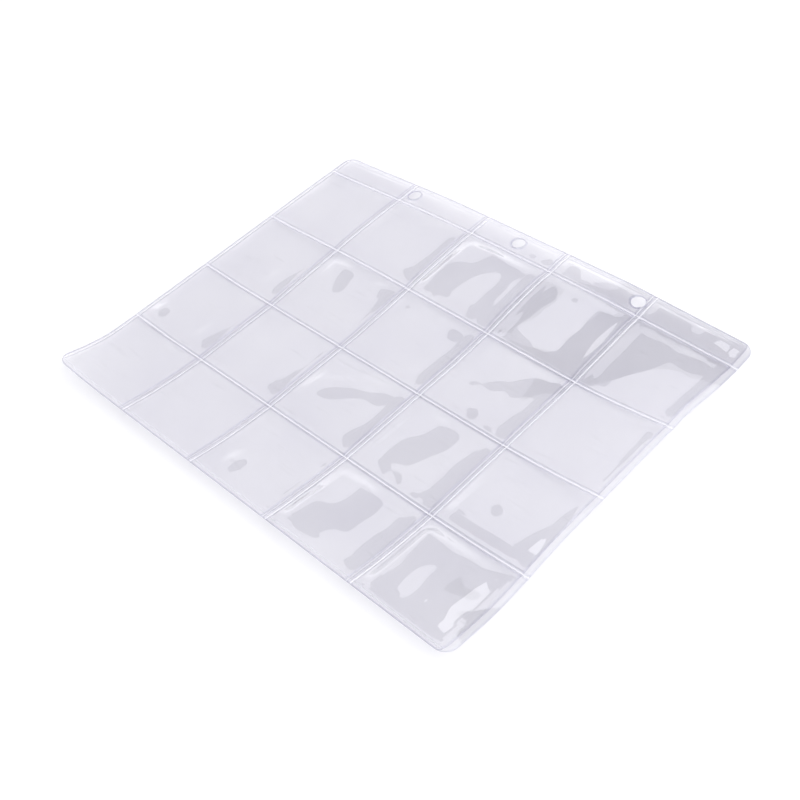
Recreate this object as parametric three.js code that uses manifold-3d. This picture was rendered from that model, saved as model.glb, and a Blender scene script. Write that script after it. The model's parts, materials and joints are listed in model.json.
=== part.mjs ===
// A clear coin album page: one back film and five front film strips, welded into four columns
// of five pockets, with a binding margin punched for three rings.
//
// Millimetres. The page lies flat. +X runs across the page, away from the binding margin.
// +Y runs up the page, towards the pocket mouths. +Z points out of the pocket side.
// The origin is the middle of the page's outline, on its underside.
//
// The real films bend along their weld lines. Each film is therefore divided there, and each
// stretch is a solid of its own: stretches of one panel belong to one rigid body.

import * as THREE from "three";
import { mergeVertices } from "three/addons/utils/BufferGeometryUtils.js";
import Module from "manifold-3d";

// Page
const ROWS = 5;
const COLUMNS = 4;
const ROW_PITCH = 50;
const COLUMN_PITCH = 45;
const MARGIN_WIDTH = 14;
const TOP_LIP = 2;
const CORNER_RADIUS = 6;

// Film and welds
const FILM_THICKNESS = 0.2;
const FILM_GAP = 0.3;
const SIDE_CLEARANCE = 0.3;
const WELD_HALF_WIDTH = 1.5;
const EDGE_WELD_WIDTH = 2.2;
const BOTTOM_WELD_WIDTH = 2;
const MOUTH_GAP = 1;
const HINGE_SETBACK = 0.45;

// Ring holes
const RING_HOLES = 3;
const RING_HOLE_RADIUS = 3.5;
const RING_HOLE_PITCH = 70;
const RING_HOLE_INSET = 7;
const RING_HOLE_SIDES = 32;
const CORNER_SEGMENTS = 8;

const PAGE_WIDTH = MARGIN_WIDTH + COLUMNS * COLUMN_PITCH;
const PAGE_LENGTH = ROWS * ROW_PITCH + TOP_LIP;
const LEFT = -PAGE_WIDTH / 2;
const RIGHT = PAGE_WIDTH / 2;
const BOTTOM = -PAGE_LENGTH / 2;
const TOP = PAGE_LENGTH / 2;
const BINDING_SEAM = LEFT + MARGIN_WIDTH;
const FRONT_LAYER = FILM_THICKNESS + FILM_GAP;
const CUT_DEPTH = 4 * FILM_THICKNESS;

const wasm = await Module();
wasm.setup();

const BACK_FILM = new THREE.MeshStandardMaterial({
  color: 0xe6e5ee,
  roughness: 0.12,
  metalness: 0,
  opacity: 0.35,
  transparent: true,
});
const FRONT_FILM = new THREE.MeshStandardMaterial({
  color: 0xeceaf4,
  roughness: 0.08,
  metalness: 0,
  opacity: 0.35,
  transparent: true,
});
const WELDED_FILM = new THREE.MeshStandardMaterial({
  color: 0xd4d2e0,
  roughness: 0.35,
  metalness: 0,
  opacity: 0.55,
  transparent: true,
});

// Turns a closed geometry into a solid that can be cut and joined.
function toSolid(geometry) {
  geometry.deleteAttribute("normal");
  geometry.deleteAttribute("uv");
  const merged = mergeVertices(geometry);
  const mesh = new wasm.Mesh({
    numProp: 3,
    vertProperties: new Float32Array(merged.attributes.position.array),
    triVerts: new Uint32Array(merged.index.array),
  });
  return new wasm.Manifold(mesh);
}

// Turns a solid back into a geometry with flat-shaded normals.
function toGeometry(solid) {
  const mesh = solid.getMesh();
  const geometry = new THREE.BufferGeometry();
  geometry.setAttribute("position", new THREE.BufferAttribute(new Float32Array(mesh.vertProperties), 3));
  geometry.setIndex(new THREE.BufferAttribute(new Uint32Array(mesh.triVerts), 1));
  geometry.computeVertexNormals();
  return geometry;
}

// The page's outline with its four rounded corners, one film thick.
function pageOutline() {
  const shape = new THREE.Shape();
  const quarter = Math.PI / 2;
  shape.absarc(RIGHT - CORNER_RADIUS, TOP - CORNER_RADIUS, CORNER_RADIUS, 0, quarter);
  shape.absarc(LEFT + CORNER_RADIUS, TOP - CORNER_RADIUS, CORNER_RADIUS, quarter, 2 * quarter);
  shape.absarc(LEFT + CORNER_RADIUS, BOTTOM + CORNER_RADIUS, CORNER_RADIUS, 2 * quarter, 3 * quarter);
  shape.absarc(RIGHT - CORNER_RADIUS, BOTTOM + CORNER_RADIUS, CORNER_RADIUS, 3 * quarter, 4 * quarter);
  shape.closePath();
  const film = new THREE.ExtrudeGeometry(shape, {
    depth: FILM_THICKNESS,
    curveSegments: CORNER_SEGMENTS,
    bevelEnabled: false,
  });
  return toSolid(film);
}

// A block over a rectangle of the page, taller than a film on both sides.
function block(x0, x1, y0, y1) {
  const geometry = new THREE.BoxGeometry(x1 - x0, y1 - y0, CUT_DEPTH);
  geometry.translate((x0 + x1) / 2, (y0 + y1) / 2, FILM_THICKNESS / 2);
  return toSolid(geometry);
}

// The round punch for one ring hole.
function ringPunch(index) {
  const y = (index - (RING_HOLES - 1) / 2) * RING_HOLE_PITCH;
  const geometry = new THREE.CylinderGeometry(RING_HOLE_RADIUS, RING_HOLE_RADIUS, CUT_DEPTH, RING_HOLE_SIDES);
  geometry.rotateX(Math.PI / 2);
  geometry.translate(LEFT + RING_HOLE_INSET, y, FILM_THICKNESS / 2);
  return toSolid(geometry);
}

const outline = pageOutline();
const punches = Array.from({ length: RING_HOLES }, (_, index) => ringPunch(index));

// The stretch of film over a rectangle of the page, inside the page's outline.
function filmSolid(x0, x1, y0, y1) {
  return outline.intersect(block(x0, x1, y0, y1));
}

function punched(solid) {
  return punches.reduce((film, punch) => film.subtract(punch), solid);
}

function filmMesh(name, solid, material, height) {
  const mesh = new THREE.Mesh(toGeometry(solid), material);
  mesh.name = name;
  mesh.position.z = height;
  return mesh;
}

// Where a row's strip starts and ends up the page. Row 1 is the top row.
function rowSpan(row) {
  const start = BOTTOM + (ROWS - row) * ROW_PITCH;
  return { start, mouth: start + ROW_PITCH - MOUTH_GAP };
}

// Where a column's panel starts and ends, and the width of the weld down each side of it.
// The last column ends at the page's free edge, so it needs no hinge gap there.
function columnSpan(column) {
  const seam = BINDING_SEAM + (column - 1) * COLUMN_PITCH;
  const last = column === COLUMNS;
  const seamWeld = WELD_HALF_WIDTH - HINGE_SETBACK;
  return {
    start: seam + HINGE_SETBACK,
    end: seam + COLUMN_PITCH - (last ? 0 : HINGE_SETBACK),
    startWeld: seamWeld,
    endWeld: last ? EDGE_WELD_WIDTH : seamWeld,
  };
}

// The margin: the back film's stretch beside the binding and the end of each front strip.
function bindingMargin() {
  const group = new THREE.Group();
  const end = BINDING_SEAM - HINGE_SETBACK;
  const back = punched(filmSolid(LEFT, end, BOTTOM, TOP));
  group.add(filmMesh("back_film_margin", back, BACK_FILM, 0));
  for (let row = 1; row <= ROWS; row += 1) {
    const { start, mouth } = rowSpan(row);
    const strip = punched(filmSolid(LEFT, end, start, mouth));
    group.add(filmMesh(`front_strip_${row}_margin_end`, strip, FRONT_FILM, FRONT_LAYER));
  }
  return group;
}

// The welded border of one pocket: both sides and the bottom of the strip, open at the mouth.
function pocketBorder(row, column) {
  const { start: y0, mouth: y1 } = rowSpan(row);
  const { start: x0, end: x1, startWeld, endWeld } = columnSpan(column);
  const window = block(x0 + startWeld, x1 - endWeld, y0 + BOTTOM_WELD_WIDTH, y1 + MOUTH_GAP);
  const border = filmSolid(x0, x1, y0, y1).subtract(window);
  return filmMesh(`front_strip_${row}_border_${column}`, border, WELDED_FILM, FRONT_LAYER);
}

// The free film of one pocket's front, which bows outwards at its mouth.
function pocketFront(row, column) {
  const { start: y0, mouth: y1 } = rowSpan(row);
  const { start: x0, end: x1, startWeld, endWeld } = columnSpan(column);
  const front = filmSolid(
    x0 + startWeld + SIDE_CLEARANCE,
    x1 - endWeld - SIDE_CLEARANCE,
    y0 + BOTTOM_WELD_WIDTH + SIDE_CLEARANCE,
    y1,
  );
  return filmMesh(`front_strip_${row}_pocket_${column}`, front, FRONT_FILM, FRONT_LAYER);
}

// One column: the back film behind it and its five pockets.
function pocketColumn(column) {
  const group = new THREE.Group();
  const { start, end } = columnSpan(column);
  const back = filmSolid(start, end, BOTTOM, TOP);
  group.add(filmMesh(`back_film_column_${column}`, back, BACK_FILM, 0));
  for (let row = 1; row <= ROWS; row += 1) {
    group.add(pocketBorder(row, column));
    group.add(pocketFront(row, column));
  }
  return group;
}

function coinAlbumPage() {
  const page = new THREE.Group();
  page.add(bindingMargin());
  for (let column = 1; column <= COLUMNS; column += 1) {
    page.add(pocketColumn(column));
  }
  return page;
}

export default coinAlbumPage();
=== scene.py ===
# A clear coin album page lying on a pale floor: one back film and five front strips, welded into
# four columns of five pockets, with a binding margin punched for three rings.
#
# Lengths in the modelling code are millimetres in the CAD frame: +X across the page away from the
# binding, +Y up the page towards the pocket mouths, +Z out of the pocket side.

import json
import math

import bmesh
import bpy
import numpy as np
from mathutils import Matrix, Vector


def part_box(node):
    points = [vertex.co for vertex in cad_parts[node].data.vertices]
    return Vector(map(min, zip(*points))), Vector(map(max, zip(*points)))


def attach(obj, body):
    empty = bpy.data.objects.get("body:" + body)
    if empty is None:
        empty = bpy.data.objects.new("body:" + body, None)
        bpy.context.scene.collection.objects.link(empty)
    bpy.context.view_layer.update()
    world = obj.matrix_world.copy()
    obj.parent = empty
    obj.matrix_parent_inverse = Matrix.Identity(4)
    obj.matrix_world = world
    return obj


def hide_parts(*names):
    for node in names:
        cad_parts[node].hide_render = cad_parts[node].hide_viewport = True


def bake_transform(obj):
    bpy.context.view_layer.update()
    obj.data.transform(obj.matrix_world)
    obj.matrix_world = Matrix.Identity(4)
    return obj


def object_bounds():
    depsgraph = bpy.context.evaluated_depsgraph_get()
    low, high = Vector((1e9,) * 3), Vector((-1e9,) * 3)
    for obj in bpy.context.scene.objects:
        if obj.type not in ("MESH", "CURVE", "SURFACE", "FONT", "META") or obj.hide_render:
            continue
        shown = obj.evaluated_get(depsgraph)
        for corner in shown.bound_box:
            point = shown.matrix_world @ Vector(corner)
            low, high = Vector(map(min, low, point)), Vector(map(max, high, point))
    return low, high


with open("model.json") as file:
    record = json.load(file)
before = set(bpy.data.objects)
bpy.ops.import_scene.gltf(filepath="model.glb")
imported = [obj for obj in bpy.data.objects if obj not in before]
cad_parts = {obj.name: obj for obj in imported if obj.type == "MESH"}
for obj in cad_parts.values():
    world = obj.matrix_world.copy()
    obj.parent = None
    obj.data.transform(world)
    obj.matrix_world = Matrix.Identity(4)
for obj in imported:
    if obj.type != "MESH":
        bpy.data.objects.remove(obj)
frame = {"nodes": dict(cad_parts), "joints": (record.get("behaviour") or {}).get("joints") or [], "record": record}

cad_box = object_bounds()
MM = 0.001

# ---------------------------------------------------------------- layout, read from the frame

nodes = frame["nodes"]
joints = {joint["name"]: joint for joint in frame["joints"]}
COLUMNS = sum(name.startswith("back_film_column_") for name in nodes)
ROWS = sum(name.endswith("_margin_end") for name in nodes)

LEFT, BOTTOM = cad_box[0].x / MM, cad_box[0].y / MM
RIGHT, TOP = cad_box[1].x / MM, cad_box[1].y / MM
SEAMS = [joints[f"seam_bend_{c}"]["pos_m"][0] / MM for c in range(1, COLUMNS + 1)]
COLUMN_PITCH = SEAMS[1] - SEAMS[0]


def strip_span(row):
    low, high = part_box(f"front_strip_{row}_margin_end")
    return low.y / MM, high.y / MM


STRIPS = {row: strip_span(row) for row in range(1, ROWS + 1)}
HOLES = [
    ((box[0][0] + box[1][0]) / 2 / MM, (box[0][1] + box[1][1]) / 2 / MM)
    for box in (opening["box_m"] for opening in frame["record"]["physics"]["openings"])
]
HOLE_RADIUS = 3.5
HOLE_INSET = 7.0
CORNER_RADIUS = 6.0

# ---------------------------------------------------------------- shape of the page at rest

FLOOR = -2.0  # the floor's height: the page's waves stand either side of its flat CAD solids
CLEARANCE = 0.05  # between the back film and the floor
FUSED_GAP = 0.16  # between the two films where they are welded
THINNEST_GAP = 0.06
SEAM_HALF = 1.5
EDGE_WELD = 2.2
HEM = 2.0  # the weld along a strip's bottom
HEM_END = HEM + 0.3  # where the pocket's free front starts
HEM_LINE = 0.8  # the line pressed along the middle of the hem
HEM_PUCKER = 2.6  # from the hem to the small wave that it raises in the free film
GROOVE = 0.9  # from a seam's middle to the groove on each side of it
FOLD = 6.5  # how far from a seam the film bends when the page is turned
LIFT_OFF = 7.0  # how far from a weld the films have come apart

# Seeds of the films' unevenness. The two front ones are counted up by the strip's row.
BACK_SEED = 11
SWELL_SEED = 100
FRONT_SEED = 200


def ramp(t):
    """Rises smoothly from 0 at t = 0 to 1 at t = 1."""
    t = np.clip(t, 0.0, 1.0)
    return t * t * (3 - 2 * t)


def bump(distance, width):
    """Falls smoothly from 1 at distance 0, to about a third at the width."""
    return np.exp(-((distance / width) ** 2))


def page_wave(x, y):
    """How high the page as a whole stands off the floor: one wave for the binding side, and one
    for each other edge and the lifted corner."""
    fade_at = -47 - 0.27 * y
    arch = ramp((y + 150) / 115) * (1 - 0.8 * np.clip((y - 56) / 70, 0, None) ** 1.35)
    binding = (1.0 + 4.4 * arch) * (1 - ramp((x - fade_at + 46) / 92))
    top = 5.0 * np.clip((y - 62) / 64, 0, None) ** 2 * ramp((x + 85) / 45)
    top = top * (1 - 0.7 * ramp((x - 20) / 60))
    free = 5.6 * np.clip((x - 42) / 55, 0, None) ** 2
    low = 1.6 * ramp((-y - 90) / 36)
    corner = 8.0 * (np.clip((x - 58) / 39, 0, None) * np.clip((-y - 66) / 60, 0, None)) ** 1.6
    total = binding**3 + top**3 + free**3 + low**3 + corner**3
    return np.cbrt(total + 1e-3)


def seam_distance(x):
    """Distance to the nearest column seam."""
    return np.min([np.abs(x - seam) for seam in SEAMS], axis=0)


def seam_offset(x):
    """Signed distance to the nearest column seam, positive away from the binding."""
    offsets = np.array([x - seam for seam in SEAMS])
    nearest = np.argmin(np.abs(offsets), axis=0)
    return np.take_along_axis(offsets, nearest[None, ...], axis=0)[0]


def open_share(x, y, y0):
    """0 where the films are fused along a pocket's sides and bottom, 1 where they are free."""
    side = ramp((seam_distance(x) - SEAM_HALF) / LIFT_OFF)
    side = side * ramp((RIGHT - EDGE_WELD - x) / LIFT_OFF)
    bottom = ramp((y - y0 - HEM) / LIFT_OFF)
    return side * bottom


# Swellings of the films, as (row, column, across, up, long reach, short reach, turn, height):
# across is from the pocket's binding-side seam, so it is negative in the margin, up is from the
# pocket's bottom weld, and turn is the long reach's direction in degrees from straight across.
FRONT_WAVES = [
    (5, 2, 33, 40, 12, 6, 0, 1.0),
    (5, 3, 36, 8, 5, 4.5, 0, 1.0),
    (5, 3, 35, 41, 10, 5.5, 0, 1.0),
    (4, 1, 38, 39, 12, 7, 12, 0.8),
    (4, 2, 13, 15, 11, 6.5, 20, 1.6),
    (4, 2, 8, 40, 6, 5, 0, 0.9),
    (4, 3, 22, 20, 10, 4, 118, 0.75),
    (4, 3, 33, 40, 10, 5, 0, 0.9),
    (3, 1, 35, 2, 20, 15, 160, 2.6),
    (3, 1, 13, 17, 18, 12, 125, 1.5),
    (3, 1, 9, 21, 9, 9, 0, 1.1),
    (3, 1, 26, 35, 28, 9, 176, 1.2),
    (3, 2, 30, 42, 12, 4, 0, 0.3),
    (3, 3, 19, 18, 26, 6, 118, 1.4),
    (3, 3, 36, 41, 8, 5, 0, 0.7),
    (3, 4, 32, 16, 7, 4.5, 0, 1.2),
    (2, 1, 5, 19, 5, 4, 20, 0.4),
    (2, 1, 32, 35, 14, 8, 170, 0.5),
    (2, 2, 17, 26, 20, 5.5, 119, 0.7),
    (2, 2, 33, 42, 9, 4, 0, 0.4),
    (2, 3, 24, 12, 15, 9, 0, 1.0),
    (2, 3, 9, 21, 8, 8, 0, 0.7),
    (2, 3, 20, 41, 12, 4, 0, 0.35),
    (2, 4, 29, 7, 18, 13, 0, 2.4),
    (2, 4, 12, 20, 13, 9, 20, 1.8),
    (2, 4, 22, 41, 24, 5, 0, 0.5),
    (1, 1, 14, 12, 16, 14, 0, 0.9),
    (1, 1, 24, 42, 20, 12, 0, 0.8),
    (1, 3, 27, 17, 7, 5, 60, 0.9),
    (1, 3, 36, 35, 14, 16, 0, 0.9),
    (1, 3, 34, 42, 12, 5, 0, 0.35),
    (1, 4, 20, 4, 40, 32, 0, 3.0),
    (1, 4, 32, 25, 9, 6, 20, 0.9),
    (1, 4, 24, 51, 34, 9, 0, -2.3),
    (2, 1, -7, 5, 6, 10, 0, 1.6),
    (2, 1, -6, 25, 6, 8, 0, 1.6),
    (2, 1, -8, 47, 6, 6, 0, 0.6),
    (1, 1, -7, 5, 6, 10, 0, 0.9),
    (1, 1, -7, 34, 9, 9, 0, 2.2),
]
BACK_WAVES = [
    (3, 3, 20, 20, 14, 10, 0, 0.25),
    (2, 1, 18, -1, 24, 8, 0, 0.8),
    (2, 1, 24, 38, 30, 15, 0, 1.0),
    (2, 4, 26, 12, 16, 10, 0, 0.3),
    (1, 1, 24, 40, 24, 14, 0, 0.7),
]


def waves(x, y, table):
    """The sum of a table's swellings."""
    total = np.zeros(np.broadcast(x, y).shape)
    for row, column, across, up, long_reach, short_reach, turn, height in table:
        dx = x - SEAMS[column - 1] - across
        dy = y - STRIPS[row][0] - up
        cosine, sine = math.cos(math.radians(turn)), math.sin(math.radians(turn))
        along, off = dx * cosine + dy * sine, dy * cosine - dx * sine
        total = total + height * bump(along, long_reach) * bump(off, short_reach)
    return total


def ripple(x, y, seed):
    """The film's own unevenness: a few crossed waves of 9 to 40 mm."""
    rng = np.random.default_rng(seed)
    total = np.zeros(np.broadcast(x, y).shape)
    for _ in range(14):
        length = rng.uniform(9, 40)
        turn = rng.uniform(0, math.pi)
        phase = rng.uniform(0, 2 * math.pi)
        size = 0.0011 * length
        along = x * math.cos(turn) + y * math.sin(turn)
        total = total + size * np.sin(2 * math.pi * along / length + phase)
    return total


def seam_profile(x, y):
    """The ridge down the middle of a seam's weld, the groove on each side of it, and a slight
    pucker of the free film beside the weld."""
    offset = seam_offset(x)
    ridge = 0.13 * bump(offset, 0.33)
    grooves = -0.07 * bump(np.abs(offset) - GROOVE + 0.05, 0.22)
    lips = 0.07 * bump(np.abs(offset) - SEAM_HALF, 0.25)
    pucker = 0.02 * np.sin(2 * math.pi * y / 8.3 + 1.7 * np.sin(y / 21))
    return ridge + grooves + lips + pucker * bump(np.abs(offset) - 3.6, 1.3)


def crease_shade_share(x, y, row):
    """1 along the sharp creases of the welds and round the ring holes, where shade is painted in as denser tint:
    the real film looks dark there as it bends light aside.
    """
    crease_shades = [bump(np.abs(seam_offset(x)) - GROOVE, 0.2)]
    for hx, hy in HOLES:
        crease_shades.append(0.5 * bump(np.hypot(x - hx, y - hy) - HOLE_RADIUS - 0.25, 0.35))
    if row is not None:
        above = y - STRIPS[row][0]
        crease_shades.append(0.7 * bump(above - HEM - 0.35, 0.22))
        crease_shades.append(0.6 * bump(above - HEM_LINE, 0.25))
        crease_shades.append(bump(RIGHT - EDGE_WELD - 0.3 - x, 0.2))
        crease_shades.append(bump(x - LEFT - EDGE_WELD - 0.3, 0.2))
    return np.maximum.reduce(crease_shades)


def painted_glint_share(x, y, row):
    """1 along the fine ridges of the welds, where a white diffuse line is painted in as a highlight."""
    painted_glints = [bump(seam_offset(x), 0.28)]
    if row is not None:
        above = y - STRIPS[row][0]
        painted_glints.append(bump(above - HEM + 0.3, 0.28))
        painted_glints.append(0.25 * bump(RIGHT - EDGE_WELD + 0.4 - x, 0.22))
    return np.maximum.reduce(painted_glints)


def back_height(x, y):
    """Height of the back film, which is calmer at the seams and near the page's outline."""
    quiet = ramp((seam_distance(x) - SEAM_HALF) / 6)
    inset = np.minimum.reduce([x - LEFT, RIGHT - x, y - BOTTOM, TOP - y])
    calm = (0.25 + 0.75 * quiet) * (0.15 + 0.85 * ramp(inset / 14))
    local = waves(x, y, BACK_WAVES) * quiet + 0.6 * ripple(x, y, BACK_SEED) * calm
    sunk = -0.18 * bump(seam_distance(x), 2.2)
    return FLOOR + CLEARANCE + page_wave(x, y) + np.maximum(local + sunk + 0.25, 0.0)


def strip_gap(x, y, row):
    """How far a front strip stands off the back film."""
    y0, mouth = STRIPS[row]
    above = y - y0
    free = ramp((SEAMS[0] - SEAM_HALF - x) / 4) * ramp((x - LEFT - EDGE_WELD) / 3)
    margin_share = 0.5 * free * ramp((above - HEM) / 5)
    share = np.where(x < SEAMS[0], margin_share, open_share(x, y, y0))
    swell = 0.55 + 0.4 * ripple(x, y, SWELL_SEED + row)
    own = [wave for wave in FRONT_WAVES if wave[0] == row]
    gap = FUSED_GAP + share * (swell + waves(x, y, own) + ripple(x, y, FRONT_SEED + row))
    droop = 0.35 * ramp((y - mouth + 5) / 5) * share
    hem_lip = 0.14 * bump(above - HEM, 0.3)
    hem_wave = 0.12 * bump(above - HEM - HEM_PUCKER, 1.3) * (0.8 + 0.2 * np.sin(x / 5.3 + row))
    edge_lip = 0.14 * (bump(RIGHT - EDGE_WELD - x, 0.28) + bump(x - LEFT - EDGE_WELD, 0.28))
    gap = gap - droop + hem_lip + hem_wave * ramp((seam_distance(x) - 2) / 3)
    return np.maximum(gap + seam_profile(x, y) + edge_lip, THINNEST_GAP)


def strip_height(row):
    return lambda x, y: back_height(x, y) + strip_gap(x, y, row)


def weld_share(x, y, row):
    """1 on the fused and knurled bands, 0 on the free film."""
    fade = 0.3
    seam = 1 - ramp((seam_distance(x) - SEAM_HALF + 0.25) / fade)
    if row is None:
        return seam
    hem = 1 - ramp((y - STRIPS[row][0] - HEM + 0.25) / fade)
    edge = 1 - ramp((RIGHT - x - EDGE_WELD + fade) / fade)
    inner = 1 - ramp((x - LEFT - EDGE_WELD + fade) / fade)
    return np.maximum.reduce([seam, hem, edge, inner])


# ---------------------------------------------------------------- film meshes

RIM_RADIUS = 0.16  # of the roll that a cut edge is finished with
RIM_TURNS = (0.25, 0.5, 0.75, 1.0)
RIM_ARC = 0.92 * math.pi
TINY = 1e-9


def grid_lines(stops, fine_at, finest, coarsest):
    """Grid lines through every stop, close together near fine_at."""
    lines = [stops[0]]
    for low, high in zip(stops[:-1], stops[1:]):
        marks = [low]
        while marks[-1] < high:
            near = min(abs(marks[-1] - at) for at in fine_at)
            marks.append(marks[-1] + min(coarsest, finest + 0.28 * near))
        marks = np.array(marks)
        lines.extend((low + (marks - low) * (high - low) / (marks[-1] - low))[1:])
    return np.array(lines)


def round_corners(x, y):
    """Carries the grid's square corners onto the page's rounded ones."""
    for sx, sy in ((1, 1), (1, -1), (-1, 1), (-1, -1)):
        cx = (RIGHT if sx > 0 else LEFT) - sx * CORNER_RADIUS
        cy = (TOP if sy > 0 else BOTTOM) - sy * CORNER_RADIUS
        a = np.clip((x - cx) * sx / CORNER_RADIUS, 0, None)
        b = np.clip((y - cy) * sy / CORNER_RADIUS, 0, None)
        inside = (a > 0) & (b > 0)
        new_x = cx + sx * CORNER_RADIUS * a * np.sqrt(np.clip(1 - b * b / 2, 0, 1))
        new_y = cy + sy * CORNER_RADIUS * b * np.sqrt(np.clip(1 - a * a / 2, 0, 1))
        x, y = np.where(inside, new_x, x), np.where(inside, new_y, y)
    return x, y


def height_normals(x, y, height):
    """The surface's true normals, from its slopes."""
    step = 0.05
    dx = (height(x + step, y) - height(x - step, y)) / (2 * step)
    dy = (height(x, y + step) - height(x, y - step)) / (2 * step)
    normals = np.stack([-dx, -dy, np.ones_like(dx)], axis=1)
    return normals / np.linalg.norm(normals, axis=1)[:, None]


def punch_holes(x, y, faces, sides):
    """Leaves out the faces inside the ring holes and draws the holes' lips onto true circles.
    Returns the points and faces, and which points are on a lip."""
    for hx, hy in HOLES:
        centre_x, centre_y = x[faces].mean(1), y[faces].mean(1)
        faces = faces[np.hypot(centre_x - hx, centre_y - hy) > HOLE_RADIUS]
    count = np.bincount(faces.ravel(), minlength=len(x))
    full = np.full(len(x), 4)
    for members in sides.values():
        full[members] -= 2
    lips = np.zeros(len(x), bool)
    for hx, hy in HOLES:
        away = np.hypot(x - hx, y - hy)
        lip = (away < HOLE_RADIUS + 1.0) & (count > 0) & (count < np.maximum(full, 1))
        scale = np.where(lip, HOLE_RADIUS / np.maximum(away, TINY), 1.0)
        x, y = hx + (x - hx) * scale, hy + (y - hy) * scale
        lips |= lip
    return x, y, faces, lips


def cut_edges(faces, sides, rims, lips):
    """The border edges that are cut film: those on the sides named by rims and round the ring
    holes, each in the order of the face that it belongs to."""
    on_side = {key: np.isin(np.arange(len(lips)), members) for key, members in sides.items()}
    cut = np.logical_or.reduce([lips] + [on_side[key] for key in rims])
    edges = np.concatenate([faces[:, [k, (k + 1) % 4]] for k in range(4)])
    _, first, count = np.unique(
        np.sort(edges, axis=1), axis=0, return_index=True, return_counts=True
    )
    found = []
    for a, b in edges[first[count == 1]]:
        if not (cut[a] and cut[b]):
            continue
        shared = [key for key in sides if on_side[key][a] and on_side[key][b]]
        if not shared or any(key in rims for key in shared) or (lips[a] and lips[b]):
            found.append((a, b))
    return np.array(found)


def rim_outward(x, y, rim_edges, ring):
    """The level direction out of the film at each point of its rim."""
    out = np.zeros((len(x), 2))
    for a, b in rim_edges:
        direction = np.array([y[b] - y[a], x[a] - x[b]])
        direction = direction / max(np.linalg.norm(direction), TINY)
        out[a] += direction
        out[b] += direction
    return out[ring] / np.maximum(np.linalg.norm(out[ring], axis=1), TINY)[:, None]


def round_over(surface, normals, faces, rim_edges):
    """Rolls the film's rim over. Returns all the points, their normals, the faces, and 1 for each
    point on the rim."""
    ring = np.unique(rim_edges)
    outward = rim_outward(surface[:, 0], surface[:, 1], rim_edges, ring)
    place = {vertex: k for k, vertex in enumerate(ring)}
    on_rim = np.zeros(len(surface))
    on_rim[ring] = 1.0
    points, shading, marks = [surface], [normals], [on_rim]
    previous, start = ring, len(surface)
    for turn in RIM_TURNS:
        sideways = outward * math.sin(turn * RIM_ARC)
        upward = np.full((len(ring), 1), math.cos(turn * RIM_ARC))
        shift = RIM_RADIUS * np.concatenate([sideways, upward - 1], axis=1)
        points.append(surface[ring] + shift)
        shading.append(np.concatenate([sideways, upward], axis=1))
        marks.append(np.ones(len(ring)))
        current = start + np.arange(len(ring))
        start += len(ring)
        quads = [
            (previous[place[b]], previous[place[a]], current[place[a]], current[place[b]])
            for a, b in rim_edges
        ]
        faces = np.concatenate([faces, np.array(quads, int)])
        previous = current
    return np.concatenate(points), np.concatenate(shading), faces, np.concatenate(marks)


def film(name, xs, ys, height, row=None, rims="", holes=False):
    """A stretch of film over the grid xs by ys. rims names its cut sides (w, e, s, n), whose edge
    is rounded over, and holes says that the ring holes are punched through it."""
    grid_x, grid_y = np.meshgrid(xs, ys, indexing="ij")
    x, y = round_corners(grid_x.ravel(), grid_y.ravel())
    index = np.arange(len(x)).reshape(len(xs), len(ys))
    corners = [index[:-1, :-1], index[1:, :-1], index[1:, 1:], index[:-1, 1:]]
    faces = np.stack(corners, axis=-1).reshape(-1, 4)
    sides = {"w": index[0, :], "e": index[-1, :], "s": index[:, 0], "n": index[:, -1]}
    lips = np.zeros(len(x), bool)
    if holes:
        x, y, faces, lips = punch_holes(x, y, faces, sides)

    rim_edges = cut_edges(faces, sides, rims, lips)
    surface = np.stack([x, y, height(x, y)], axis=1)
    normals = height_normals(x, y, height)
    points, normals, faces, on_rim = round_over(surface, normals, faces, rim_edges)

    # The points inside the holes belong to no face.
    used = np.unique(faces)
    renumber = np.zeros(len(points), int)
    renumber[used] = np.arange(len(used))
    points, normals, on_rim, faces = points[used], normals[used], on_rim[used], renumber[faces]

    mesh = bpy.data.meshes.new(name)
    mesh.from_pydata((points * MM).tolist(), [], faces.tolist())
    mesh.update()
    x, y = points[:, 0], points[:, 1]
    for attribute_name, kind, field, values in (
        ("rest_mm", "FLOAT_VECTOR", "vector", points),
        ("weld", "FLOAT", "value", weld_share(x, y, row)),
        # Painted shade: the share of denser tint along the weld creases and round the ring holes.
        ("crease_shade", "FLOAT", "value", crease_shade_share(x, y, row)),
        # Painted highlight: the share of white scatter along the weld ridges.
        ("painted_glint", "FLOAT", "value", painted_glint_share(x, y, row)),
        ("cut_edge", "FLOAT", "value", on_rim),
    ):
        layer = mesh.attributes.new(attribute_name, kind, "POINT")
        layer.data.foreach_set(field, np.asarray(values, np.float32).ravel())
    mesh.polygons.foreach_set("use_smooth", np.ones(len(mesh.polygons), bool))
    mesh.normals_split_custom_set_from_vertices(normals.tolist())
    obj = bpy.data.objects.new(name, mesh)
    bpy.context.scene.collection.objects.link(obj)
    return obj


# ---------------------------------------------------------------- materials


def new_tree(name):
    material = bpy.data.materials.new(name)
    material.use_nodes = True
    tree = material.node_tree
    tree.nodes.clear()
    return material, tree


def node(tree, kind, inputs=None, **settings):
    """Makes a node. Each input is a number or colour, or a socket that is linked to it."""
    made = tree.nodes.new(kind)
    for key, value in settings.items():
        setattr(made, key, value)
    for key, value in (inputs or {}).items():
        if isinstance(value, bpy.types.NodeSocket):
            tree.links.new(value, made.inputs[key])
        else:
            made.inputs[key].default_value = value
    return made


def maths(tree, operation, *values, clamp=False):
    made = tree.nodes.new("ShaderNodeMath")
    made.operation = operation
    made.use_clamp = clamp
    for slot_index, value in enumerate(values):
        if isinstance(value, bpy.types.NodeSocket):
            tree.links.new(value, made.inputs[slot_index])
        else:
            made.inputs[slot_index].default_value = value
    return made.outputs[0]


def attribute(tree, name, output):
    return node(tree, "ShaderNodeAttribute", attribute_name=name).outputs[output]


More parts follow.
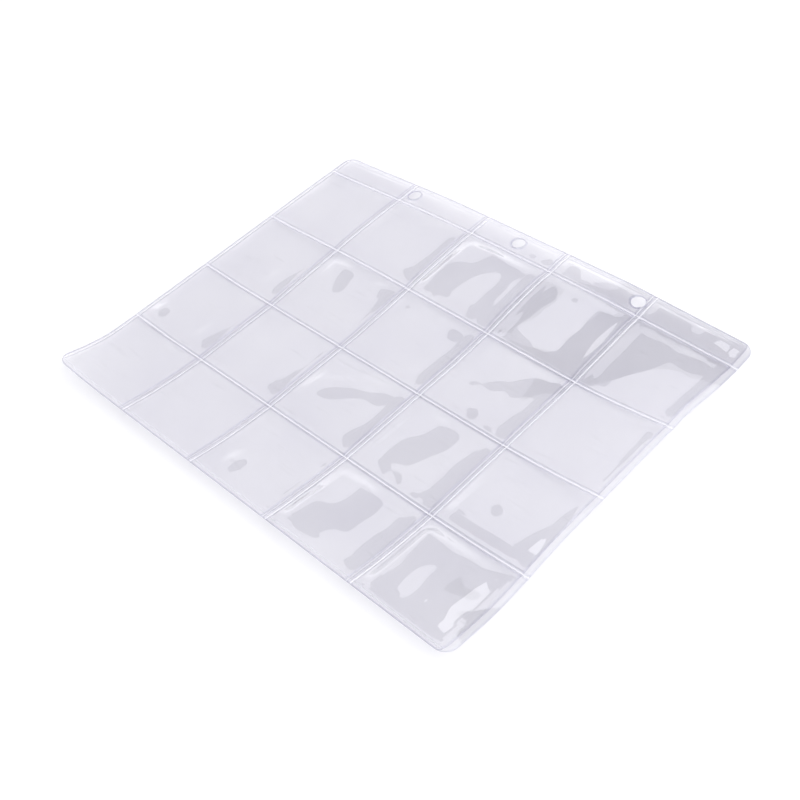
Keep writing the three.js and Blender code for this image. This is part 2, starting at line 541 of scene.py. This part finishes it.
def noise(tree, vector, scale, detail, stretch=(1, 1, 1)):
    mapped = node(tree, "ShaderNodeMapping", {"Vector": vector, "Scale": stretch}).outputs[0]
    return node(
        tree, "ShaderNodeTexNoise", {"Vector": mapped, "Scale": scale, "Detail": detail}
    ).outputs["Fac"]


def between(tree, value, from_low, from_high, to_low, to_high):
    return node(
        tree,
        "ShaderNodeMapRange",
        {
            "Value": value,
            "From Min": from_low,
            "From Max": from_high,
            "To Min": to_low,
            "To Max": to_high,
        },
    ).outputs[0]


def mix_colours(tree, share, first, second):
    return node(
        tree,
        "ShaderNodeMix",
        {0: share, 6: (*first, 1), 7: (*second, 1)},
        data_type="RGBA",
    ).outputs[2]


SQUARE_REFLECTANCE = 0.055  # how much one face of the film reflects, looked at squarely
KNURL_PITCH = 1.05
KNURL_DEPTH = 0.02
GRAIN_DEPTH = 0.0004
CLOUD_DEPTH = 0.02


def two_face_reflectance(tree):
    """Schlick's law for one face of the film, and the sum over both faces."""
    facing = node(tree, "ShaderNodeLayerWeight", {"Blend": 0.5}).outputs["Facing"]
    fifth = maths(tree, "POWER", facing, 5.0)
    one = maths(tree, "MULTIPLY_ADD", fifth, 1 - SQUARE_REFLECTANCE, SQUARE_REFLECTANCE)
    twice = maths(tree, "MULTIPLY", one, 2.0)
    return maths(tree, "DIVIDE", twice, maths(tree, "ADD", one, 1.0))


def film_material(name, clear_tint, dense_tint_and_shade, haze, gloss_roughness):
    """Soft clear PVC film. It mirrors at its two faces, lets the rest through slightly tinted, and
    carries a faint haze, scuffs and a knurl where it is welded. Painted shade darkens its tint in dots along the
    weld creases and round the ring holes, and a painted highlight whitens it along the weld ridges."""
    material, tree = new_tree(name)
    rest = attribute(tree, "rest_mm", "Vector")
    weld = attribute(tree, "weld", "Fac")
    edge = attribute(tree, "cut_edge", "Fac")
    crease_shade = attribute(tree, "crease_shade", "Fac")
    painted_glint = attribute(tree, "painted_glint", "Fac")

    cloud = noise(tree, rest, 0.03, 3)
    grain = noise(tree, rest, 1.7, 2)
    streaks = noise(tree, rest, 0.5, 4, (1.0, 0.12, 1.0))
    scuffs = between(tree, streaks, 0.62, 0.72, 0.0, 1.0)

    # Knurl: rows of small pits about a millimetre apart.
    parts = node(tree, "ShaderNodeSeparateXYZ", {"Vector": rest}).outputs
    pit_x = maths(tree, "SINE", maths(tree, "MULTIPLY", parts[0], 2 * math.pi / KNURL_PITCH))
    pit_y = maths(tree, "SINE", maths(tree, "MULTIPLY", parts[1], 2 * math.pi / KNURL_PITCH))
    knurl = maths(tree, "MULTIPLY", maths(tree, "MULTIPLY", pit_x, pit_y), weld)

    relief = maths(tree, "MULTIPLY", grain, GRAIN_DEPTH)
    relief = maths(tree, "MULTIPLY_ADD", knurl, KNURL_DEPTH, relief)
    relief = maths(tree, "MULTIPLY_ADD", cloud, CLOUD_DEPTH, relief)
    bumped = node(
        tree, "ShaderNodeBump", {"Height": relief, "Distance": 0.001, "Strength": 1.0}
    ).outputs[0]

    # The tint is denser in the clouds and along the cut edges. In dots along the weld creases and round the ring
    # holes, denser tint is painted in as shade.
    tint_and_shade_share = maths(tree, "MULTIPLY_ADD", edge, 0.6, between(tree, cloud, 0.3, 0.7, 0.0, 0.06))
    shade_dots = between(tree, pit_y, -1.0, 1.0, 0.15, 0.45)
    tint_and_shade_share = maths(tree, "MULTIPLY_ADD", crease_shade, shade_dots, tint_and_shade_share)
    tint_and_shade_share = maths(tree, "MULTIPLY_ADD", weld, 0.08, tint_and_shade_share, clamp=True)
    tint_and_shade = mix_colours(tree, tint_and_shade_share, clear_tint, dense_tint_and_shade)
    through = node(tree, "ShaderNodeBsdfTransparent", {"Color": tint_and_shade}).outputs[0]

    # Part of the film is milky: a little everywhere, more in scuffs. Along the weld ridges a white diffuse line is
    # painted in as a highlight.
    haze_and_highlight = maths(tree, "MULTIPLY_ADD", weld, 0.05, haze)
    haze_and_highlight = maths(tree, "MULTIPLY_ADD", edge, 0.05, haze_and_highlight)
    haze_and_highlight = maths(tree, "MULTIPLY_ADD", painted_glint, 0.85, haze_and_highlight)
    haze_and_highlight = maths(tree, "MULTIPLY_ADD", scuffs, 0.03, haze_and_highlight)
    haze_and_highlight = maths(tree, "MULTIPLY_ADD", knurl, 0.03, haze_and_highlight, clamp=True)
    haze_and_highlight_colour = mix_colours(tree, cloud, (0.93, 0.925, 0.97), (0.86, 0.855, 0.93))
    haze_and_highlight_scatter = node(tree, "ShaderNodeBsdfDiffuse", {"Color": haze_and_highlight_colour}).outputs[0]
    body = node(tree, "ShaderNodeMixShader", {0: haze_and_highlight, 1: through, 2: haze_and_highlight_scatter}).outputs[0]

    roughness = maths(tree, "MULTIPLY_ADD", weld, 0.12, gloss_roughness)
    roughness = maths(tree, "MULTIPLY_ADD", scuffs, 0.05, roughness)
    roughness = maths(tree, "MULTIPLY_ADD", grain, 0.01, roughness)
    gloss = node(
        tree, "ShaderNodeBsdfGlossy", {"Roughness": roughness, "Normal": bumped}
    ).outputs[0]
    mirrored = two_face_reflectance(tree)
    surface = node(tree, "ShaderNodeMixShader", {0: mirrored, 1: body, 2: gloss}).outputs[0]
    node(tree, "ShaderNodeOutputMaterial", {"Surface": surface})
    return material


BACK_MATERIAL = film_material(
    "back_film_pvc", (0.939, 0.936, 0.954), (0.70, 0.69, 0.79), 0.012, 0.012
)
FRONT_MATERIAL = film_material(
    "front_film_pvc", (0.941, 0.938, 0.956), (0.70, 0.69, 0.79), 0.010, 0.008
)
WELD_MATERIAL = film_material(
    "welded_film_pvc", (0.940, 0.937, 0.955), (0.68, 0.67, 0.77), 0.012, 0.010
)

# ---------------------------------------------------------------- the pieces

x_fine = [SEAMS[0] - SEAM_HALF, LEFT + EDGE_WELD, RIGHT - EDGE_WELD]
for seam in SEAMS:
    x_fine += [seam - SEAM_HALF, seam - GROOVE, seam, seam + GROOVE, seam + SEAM_HALF]
x_stops = [LEFT, LEFT + CORNER_RADIUS, SEAMS[0]]
for column, seam in enumerate(SEAMS):
    end = RIGHT if column == COLUMNS - 1 else SEAMS[column + 1]
    x_stops += [seam + FOLD, seam + COLUMN_PITCH / 2, end - FOLD, end]
X_LINES = grid_lines(sorted(set(x_stops)), x_fine, 0.13, 1.25)

BACK_Y_STOPS = sorted(
    {BOTTOM, TOP, BOTTOM + CORNER_RADIUS, TOP - CORNER_RADIUS} | {STRIPS[r][0] for r in STRIPS}
)


def within(lines, low, high):
    return lines[(lines >= low - 1e-6) & (lines <= high + 1e-6)]


def strip_lines(row):
    y0, mouth = STRIPS[row]
    fine_at = [y0 + HEM_LINE, y0 + HEM, y0 + HEM + HEM_PUCKER]
    return grid_lines([y0, y0 + HEM_END, mouth], fine_at, 0.15, 1.25)


def dress(obj, material, replaced):
    """Gives a piece its material and slot, and hides the CAD node that it stands for."""
    obj.data.materials.append(material)
    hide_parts(replaced)
    return obj


BACK_Y = grid_lines(BACK_Y_STOPS, [y0 + HEM for y0, _ in STRIPS.values()], 0.5, 1.25)
MARGIN_X = grid_lines(
    [LEFT, LEFT + CORNER_RADIUS, SEAMS[0]],
    [LEFT + EDGE_WELD, LEFT + HOLE_INSET, SEAMS[0] - SEAM_HALF],
    0.2,
    0.6,
)
MARGIN_Y = grid_lines(BACK_Y_STOPS, [hy for _, hy in HOLES], 0.3, 1.25)

back = film("film_back_margin", MARGIN_X, MARGIN_Y, back_height, rims="wsn", holes=True)
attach(dress(back, BACK_MATERIAL, "back_film_margin"), "binding_margin")

for row in range(1, ROWS + 1):
    y0, mouth = STRIPS[row]
    fine_at = [y0 + HEM] + [hy for _, hy in HOLES if y0 - 4 < hy < mouth + 4]
    ys = grid_lines([y0, y0 + HEM_END, mouth], fine_at, 0.3, 1.0)
    end = film(f"strip_{row}_margin", MARGIN_X, ys, strip_height(row), row, "wsn", True)
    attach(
        dress(end, FRONT_MATERIAL, f"front_strip_{row}_margin_end"), "binding_margin"
    )

for column in range(1, COLUMNS + 1):
    body = f"column_{column}"
    seam = SEAMS[column - 1]
    last = column == COLUMNS
    end = RIGHT if last else SEAMS[column]
    fold_x = within(X_LINES, seam, seam + FOLD)
    panel_x = within(X_LINES, seam + FOLD, end)
    side_x = within(X_LINES, end - FOLD, end)
    hem_x = within(X_LINES, seam + FOLD, end - FOLD)
    near_x = within(X_LINES, seam + FOLD, seam + COLUMN_PITCH / 2)
    far_x = within(X_LINES, seam + COLUMN_PITCH / 2, end - FOLD)
    outer = "e" if last else ""

    panel = film(f"film_back_column_{column}", panel_x, BACK_Y, back_height, None, "sn" + outer)
    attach(dress(panel, BACK_MATERIAL, f"back_film_column_{column}"), body)
    fold = film(f"film_back_fold_{column}", fold_x, BACK_Y, back_height, None, "sn")
    dress(fold, BACK_MATERIAL, f"back_film_column_{column}")
    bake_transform(fold)

    for row in range(1, ROWS + 1):
        y0, mouth = STRIPS[row]
        ys = strip_lines(row)
        hem_y = within(ys, y0, y0 + HEM_END)
        open_y = within(ys, y0 + HEM_END, mouth)
        height = strip_height(row)
        border_node = f"front_strip_{row}_border_{column}"
        pocket_node = f"front_strip_{row}_pocket_{column}"

        fold = film(f"strip_{row}_fold_{column}", fold_x, ys, height, row, "sn")
        dress(fold, WELD_MATERIAL, border_node)
        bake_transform(fold)
        hem = film(f"strip_{row}_hem_{column}", hem_x, hem_y, height, row, "s")
        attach(dress(hem, WELD_MATERIAL, border_node), body)
        side = film(f"strip_{row}_side_{column}", side_x, ys, height, row, "sn" + outer)
        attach(dress(side, WELD_MATERIAL, border_node), body)

        near = film(f"strip_{row}_pocket_{column}_near", near_x, open_y, height, row, "n")
        dress(near, FRONT_MATERIAL, pocket_node)
        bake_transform(near)
        far = film(f"strip_{row}_pocket_{column}_far", far_x, open_y, height, row, "n")
        dress(far, FRONT_MATERIAL, pocket_node)
        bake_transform(far)

# ---------------------------------------------------------------- floor, light and camera

scene = bpy.context.scene
scene.view_settings.view_transform = "Standard"
HORIZON = (0.99, 0.99, 1.0)
WHITE = (1.0, 1.0, 1.0)


def floor_material():
    material, tree = new_tree("studio_floor")
    place = node(tree, "ShaderNodeTexCoord").outputs["Object"]
    mottle = noise(tree, place, 3.0, 4)
    colour = mix_colours(tree, mottle, (0.90, 0.90, 0.915), (0.92, 0.92, 0.935))
    near = node(tree, "ShaderNodeBsdfDiffuse", {"Color": colour}).outputs[0]
    # The sweep's far part, beyond the lights, stays as bright as the near part.
    far = node(tree, "ShaderNodeEmission", {"Color": (*HORIZON, 1), "Strength": 1.0}).outputs[0]
    reach = node(tree, "ShaderNodeVectorMath", {0: place}, operation="LENGTH").outputs["Value"]
    share = between(tree, reach, 0.8, 1.5, 0.0, 1.0)
    shader = node(tree, "ShaderNodeMixShader", {0: share, 1: near, 2: far}).outputs[0]
    node(tree, "ShaderNodeOutputMaterial", {"Surface": shader})
    return material


floor_mesh = bpy.data.meshes.new("floor")
floor_shape = bmesh.new()
bmesh.ops.create_grid(floor_shape, x_segments=8, y_segments=8, size=25.0)
floor_shape.to_mesh(floor_mesh)
floor_shape.free()
floor = bpy.data.objects.new("floor", floor_mesh)
floor.location.z = FLOOR * MM
floor.data.materials.append(floor_material())
scene.collection.objects.link(floor)


def area_light(name, place, towards, width, height, radiance, colour=WHITE):
    """A rectangle of even brightness. Its radiance is how bright it looks, where white is 1."""
    data = bpy.data.lights.new(name, "AREA")
    data.shape = "RECTANGLE"
    data.size, data.size_y = width, height
    data.energy = radiance * width * height * math.pi
    data.color = colour
    light = bpy.data.objects.new(name, data)
    light.location = place
    light.rotation_mode = "QUATERNION"
    light.rotation_quaternion = Vector(towards).to_track_quat("-Z", "Y")
    scene.collection.objects.link(light)


# The bank across the page from the camera is what the films mirror. The patches are where they
# tip far enough to mirror the dark gap over its sharp top edge, and the highlights are where they
# mirror the key, at the gap's other end.
DOWN = (0, 0, -1)
BANK_DISTANCE = 1.5
BANK_TOP_ELEVATION = math.radians(60)
BANK_LEFT, BANK_RIGHT = -5.0, 0.8
CEILING = 2.2
bank_height = BANK_DISTANCE * math.tan(BANK_TOP_ELEVATION)
bank_width = BANK_RIGHT - BANK_LEFT
bank_place = ((BANK_LEFT + BANK_RIGHT) / 2, -BANK_DISTANCE, bank_height / 2)
area_light("bank", bank_place, (0, 1, 0), bank_width, bank_height, 1.3)
area_light("key", (-1.15, -0.06, CEILING), DOWN, 1.2, 0.44, 2.1)
area_light("ceiling", (0, 2.2, CEILING), DOWN, 6.0, 3.7, 2.1, HORIZON)
area_light("front_fill", (0, 4.2, 1.1), (0, -1, 0), 6.0, 2.0, 0.6)

# The camera sees an even white. The films mirror a sky that darkens upwards.
world = bpy.data.worlds.new("studio")
world.use_nodes = True
sky = world.node_tree
seen = node(sky, "ShaderNodeLightPath").outputs["Is Camera Ray"]
direction = node(sky, "ShaderNodeTexCoord").outputs["Generated"]
up = node(sky, "ShaderNodeSeparateXYZ", {"Vector": direction}).outputs["Z"]
mirrored = between(sky, up, 0.22, 0.5, 0.85, 0.2)
strength = maths(sky, "MAXIMUM", mirrored, seen)
sky.nodes["Background"].inputs["Color"].default_value = (*HORIZON, 1)
sky.links.new(strength, sky.nodes["Background"].inputs["Strength"])
scene.world = world

CAMERA_PLACE = Vector((0.2275, 0.3140, 0.3788 + FLOOR * MM))
CAMERA_RIGHT = Vector((-0.6911, 0.7053, -0.1579))
CAMERA_FORWARD = Vector((-0.4066, -0.5600, -0.7218))
camera_data = bpy.data.cameras.new("camera")
camera_data.sensor_width = 36.0
camera_data.lens = 54.0
camera_data.clip_start, camera_data.clip_end = 0.01, 50
camera = bpy.data.objects.new("camera", camera_data)
back_axis = -CAMERA_FORWARD.normalized()
right_axis = (CAMERA_RIGHT - CAMERA_RIGHT.dot(back_axis) * back_axis).normalized()
up_axis = back_axis.cross(right_axis)
camera.matrix_world = Matrix.Translation(CAMERA_PLACE) @ Matrix(
    (right_axis, up_axis, back_axis)
).transposed().to_4x4()
scene.collection.objects.link(camera)
scene.camera = camera
